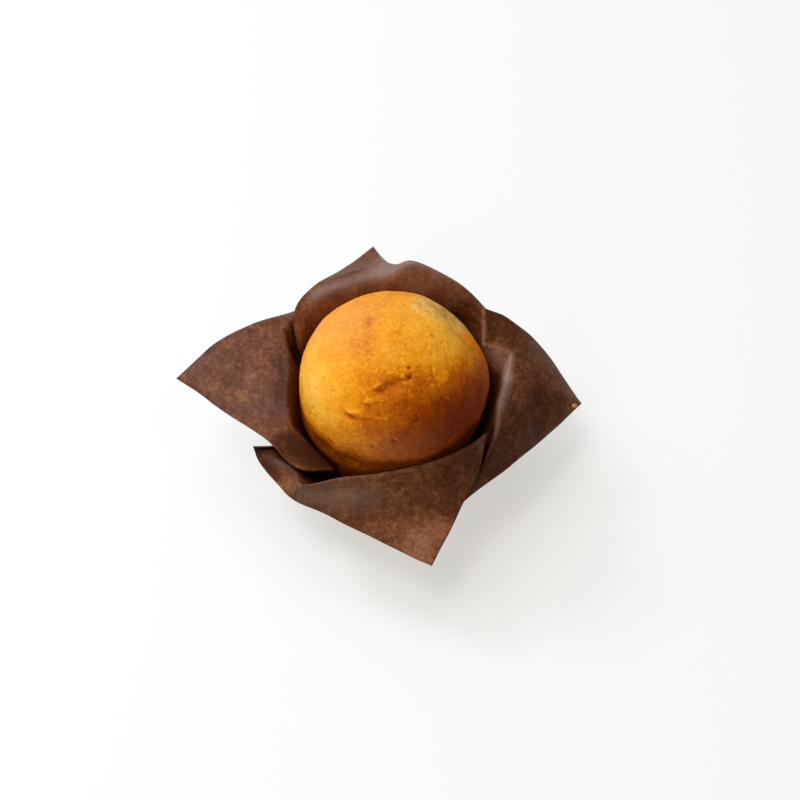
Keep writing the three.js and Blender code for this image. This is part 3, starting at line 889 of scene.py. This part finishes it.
# The paper's colours by its lightness, how much three noises add to the lightness, and how
# much the mottle adds to the relief.
PAPER_COLOURS = [
    (0.38, (0.056, 0.014, 0.004)),
    (0.5, (0.135, 0.041, 0.013)),
    (0.62, (0.27, 0.100, 0.042)),
    (0.85, (0.42, 0.25, 0.18)),
]
FIBRES_IN_LIGHTNESS = 0.15
MOTTLE_IN_LIGHTNESS = 0.5
CLOUDS_IN_LIGHTNESS = 0.35
MOTTLE_IN_RELIEF = 0.3

# The fibres are finer across than along, and turned by an angle in radians.
FIBRE_SCALE = (1, 5, 1)
FIBRE_TURN = (0, 0, 0.5)


def paper_material():
    shader = Shader("brown_greaseproof_paper")
    place = shader.place()
    wavering = shader.wavering(place, size=4, reach=1.2)
    clouds = shader.noise(place, size=8, detail=4, roughness=0.6)
    mottle = shader.noise(place, size=1.7, detail=5, roughness=0.78)
    fibres = shader.noise(shader.stretched(place, FIBRE_SCALE, FIBRE_TURN), size=1.4)
    level = shader.math("MULTIPLY", fibres, FIBRES_IN_LIGHTNESS)
    level = shader.math("MULTIPLY_ADD", mottle, MOTTLE_IN_LIGHTNESS, level)
    level = shader.math("MULTIPLY_ADD", clouds, CLOUDS_IN_LIGHTNESS, level)
    relief = shader.math("MULTIPLY", mottle, MOTTLE_IN_RELIEF)
    # Painted highlights and painted shade along the lines, in the colour and in the relief.
    for start, end, width, lighter in PAINTED_LIGHT_AND_SHADE_LINES.values():
        near = shader.near_line(wavering, start, end, width)
        level = shader.math("MULTIPLY_ADD", near, lighter, level)
        relief = shader.math("MULTIPLY_ADD", near, lighter, relief)
    colour = shader.ramp(level, PAPER_COLOURS)
    # Painted sheen along the bands.
    for start, end, width, strength in PAINTED_PAPER_SHEEN.values():
        near = shader.near_line(place, start, end, width)
        share = shader.math("MULTIPLY", near, strength)
        colour = shader.mixed(share, colour, opaque(PAINTED_PAPER_SHEEN_COLOUR))
    return shader.finish({
        "Base Color": colour,
        "Roughness": 0.42,
        "Specular IOR Level": 0.14,
        "Normal": shader.bump(fibres, depth=0.05, normal=shader.bump(relief, depth=0.35)),
    })


def crumb_material():
    shader = Shader("crumb")
    colour = shader.ramp(shader.noise(shader.place(), size=0.8, detail=2), [
        (0.35, srgb(178, 100, 26)),
        (0.65, srgb(214, 140, 52)),
    ])
    return shader.finish({"Base Color": colour, "Roughness": 0.7})


def floor_material():
    shader = Shader("white_table")
    return shader.finish({
        "Base Color": opaque((0.33, 0.33, 0.33)),
        "Roughness": 0.6,
        "Emission Color": opaque((1, 0.985, 0.94)),
        "Emission Strength": 0.58,
    })


# ------------------------------------------------------------------ the crumb
CRUMB_PLACE = (1.7, 63.7, 25.3)
CRUMB_SIZE = (1.3, 0.75, 0.65)  # half its length, width and height
CRUMB_AROUND = 16
CRUMB_ROWS = 9
CRUMB_UNEVENNESS = 0.35  # share of its radius
CRUMB_LUMPS = 1.4  # how fine they are


def crumb_mesh():
    """One small crumb, a lumpy ball."""
    points = [[0, 0, 1]]
    for r in range(1, CRUMB_ROWS):
        for c in range(CRUMB_AROUND):
            polar = math.pi * r / CRUMB_ROWS
            angle = 2 * math.pi * c / CRUMB_AROUND
            points.append([
                math.sin(polar) * math.cos(angle),
                math.sin(polar) * math.sin(angle),
                math.cos(polar),
            ])
    points.append([0, 0, -1])

    def index(r, c):
        return 1 + r * CRUMB_AROUND + c

    last = CRUMB_ROWS - 2
    faces = grid_quads(index, CRUMB_AROUND, last)
    for c in range(CRUMB_AROUND):
        d = (c + 1) % CRUMB_AROUND
        faces.append((0, index(0, c), index(0, d)))
        faces.append((index(last, c), len(points) - 1, index(last, d)))
    points = np.array(points)
    lumps = np.array([noise.noise(Vector(point) * CRUMB_LUMPS) for point in points])
    swell = 1 + CRUMB_UNEVENNESS * lumps
    return points * swell[:, None] * CRUMB_SIZE + to_point(CRUMB_PLACE), faces


# ------------------------------------------------------------------ floor, lights, camera
WARM = (1.0, 0.925, 0.776)
COOL = (0.78, 0.85, 1.0)
WORLD_STRENGTH = 0.12
FLOOR_HALF = 6000

# Each light's azimuth and elevation in degrees, its distance and size in metres, its power
# and its colour.
LIGHTS = {
    "window": (143, 40, 1.8, 0.34, 12.5, COOL),
    "window_wall": (140, 57, 2.2, 2.5, 50, COOL),
    "ceiling": (-150, 74, 1.8, 0.5, 7, WARM),
    "far_lamp": (-30, 60, 1.6, 0.2, 0.6, WARM),
    "front_lamp": (-124, 38, 1.6, 0.4, 2.8, WARM),
}

CAMERA_PLACE = (2.06, -321.57, 490.86)
CAMERA_ELEVATION = 55  # degrees by which it looks down
FIELD_OF_VIEW = 28  # degrees across the sensor
SENSOR = 36


def make_floor(material):
    signs = [(-1, -1), (1, -1), (1, 1), (-1, 1)]
    corners = [(FLOOR_HALF * x, FLOOR_HALF * y, 0) for x, y in signs]
    new_object("floor", corners, [(0, 1, 2, 3)], material)


def area_light(name, azimuth, elevation, distance, size, power, colour):
    """A square light that looks at the muffin."""
    light = bpy.data.lights.new(name, "AREA")
    light.size = size
    light.energy = power
    light.color = colour
    lamp = bpy.data.objects.new(name, light)
    across = math.cos(math.radians(elevation))
    direction = Vector((
        across * math.cos(math.radians(azimuth)),
        across * math.sin(math.radians(azimuth)),
        math.sin(math.radians(elevation)),
    ))
    lamp.location = direction * distance
    lamp.rotation_euler = direction.to_track_quat("Z", "Y").to_euler()
    bpy.context.scene.collection.objects.link(lamp)


def make_surroundings():
    world = bpy.data.worlds.new("studio")
    world.use_nodes = True
    background = world.node_tree.nodes["Background"]
    background.inputs["Color"].default_value = (*WARM, 1)
    background.inputs["Strength"].default_value = WORLD_STRENGTH
    bpy.context.scene.world = world
    for name, settings in LIGHTS.items():
        area_light(name, *settings)


def make_camera():
    data = bpy.data.cameras.new("camera")
    data.sensor_width = SENSOR
    data.lens = SENSOR / 2 / math.tan(math.radians(FIELD_OF_VIEW / 2))
    camera = bpy.data.objects.new("camera", data)
    camera.location = Vector(CAMERA_PLACE) * MM
    camera.rotation_euler = (math.radians(90 - CAMERA_ELEVATION), 0, 0)
    bpy.context.scene.collection.objects.link(camera)
    bpy.context.scene.camera = camera


def main():
    paper = make_paper(paper_material())
    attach(paper, "root")
    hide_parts("paper_case")
    muffin = make_muffin(crust_material())
    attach(muffin, "root")
    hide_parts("muffin")
    crumb = new_object("crumb", *crumb_mesh(), crumb_material())
    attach(crumb, "root")
    make_floor(floor_material())
    make_surroundings()
    make_camera()
    bpy.context.scene.view_settings.view_transform = "Standard"


main()
